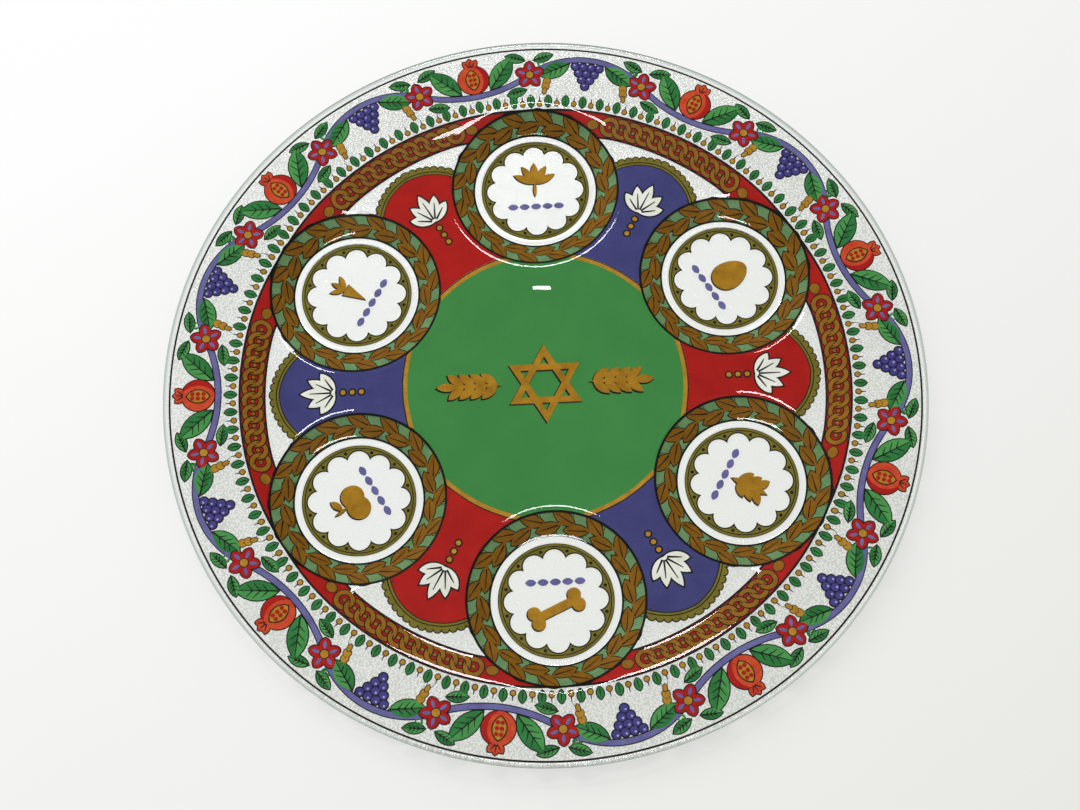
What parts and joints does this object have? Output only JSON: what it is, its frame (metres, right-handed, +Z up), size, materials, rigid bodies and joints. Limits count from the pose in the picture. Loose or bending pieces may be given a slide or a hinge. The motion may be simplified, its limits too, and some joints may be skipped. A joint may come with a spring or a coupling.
{
  "type": "seder plate",
  "caption": "Round clear-glass seder plate with shallow wells in a ring, a low step and a broad rim, enamelled underneath in coloured ornament.",
  "frame": {"origin": "under the plate's centre, on the table plane that its wells stand on", "axes": "+Z up, square to the plate; +Y points to the well at the top of the picture"},
  "size_m": [0.33, 0.33, 0.0149],
  "materials": {
    "clear_glass": "polished, with a fine stippled underside",
    "black_enamel": "gloss fired enamel",
    "violet_enamel": "gloss fired enamel",
    "leaf_green_enamel": "gloss fired enamel",
    "orange_red_enamel": "gloss fired enamel",
    "grape_violet_enamel": "gloss fired enamel",
    "ochre_enamel": "gloss fired enamel",
    "red_enamel": "gloss fired enamel",
    "sage_enamel": "gloss fired enamel",
    "bronze_enamel": "gloss fired enamel",
    "olive_enamel": "gloss fired enamel",
    "gold_enamel": "satin metallic fired lustre",
    "blue_enamel": "gloss fired enamel",
    "white_enamel": "gloss fired enamel",
    "green_enamel": "gloss fired enamel"
  },
  "bodies": {
    "root": {"glass_plate": "clear_glass", "edge_line": "black_enamel", "rim_vine": "violet_enamel", "rim_leaf": "leaf_green_enamel", "rim_fruit": "orange_red_enamel", "rim_grape": "grape_violet_enamel", "rim_wheat": "ochre_enamel", "rim_blossom": "red_enamel", "bud_row": "leaf_green_enamel", "bead_row": "ochre_enamel", "band_ground": "red_enamel", "band_chain": "ochre_enamel", "ring_ground": "sage_enamel", "ring_laurel": "bronze_enamel", "well_scallop": "olive_enamel", "sign_gold": "gold_enamel", "sign_violet": "violet_enamel", "panel_red": "red_enamel", "panel_blue": "blue_enamel", "panel_border": "olive_enamel", "panel_palmette": "white_enamel", "centre_field": "green_enamel", "centre_border": "ochre_enamel", "centre_ornament": "gold_enamel"}
  },
  "joints": []
}
